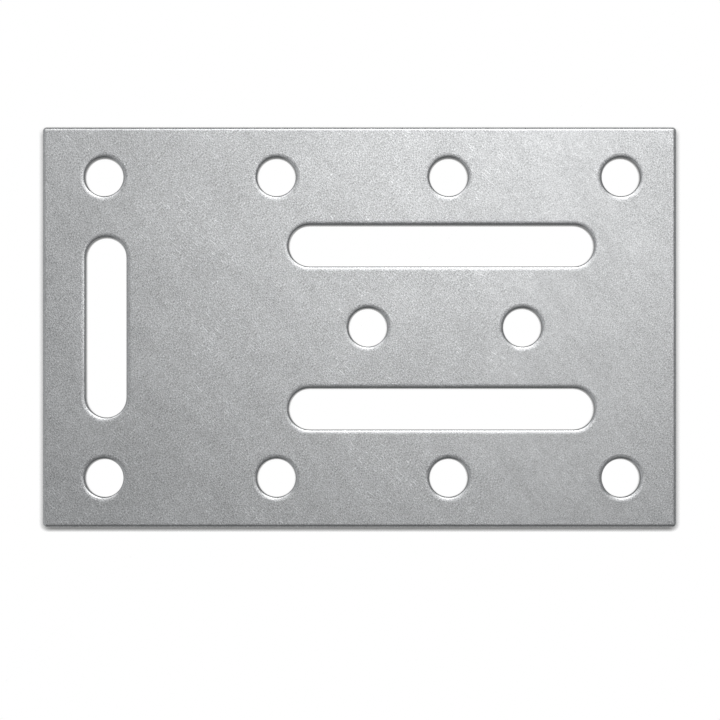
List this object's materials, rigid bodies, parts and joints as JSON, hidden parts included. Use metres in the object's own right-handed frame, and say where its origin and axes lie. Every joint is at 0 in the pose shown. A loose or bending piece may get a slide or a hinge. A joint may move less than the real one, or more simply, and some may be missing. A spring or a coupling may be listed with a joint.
{
  "type": "slotted mending plate",
  "caption": "Flat rectangular steel mending plate, punched with rows of round screw holes, long parallel slots along it and a short slot across one end.",
  "frame": {"origin": "centre of the plate's underside", "axes": "+X along the plate's length, away from the end with the short slot; +Y across the plate; +Z out of the face that the punches entered, where the edges are rolled over"},
  "size_m": [0.08, 0.0506, 0.0025],
  "materials": {
    "zinc_coated_steel": "matt zinc coat with a fine random grain"
  },
  "bodies": {
    "root": {"mending_plate": "zinc_coated_steel"}
  },
  "joints": []
}
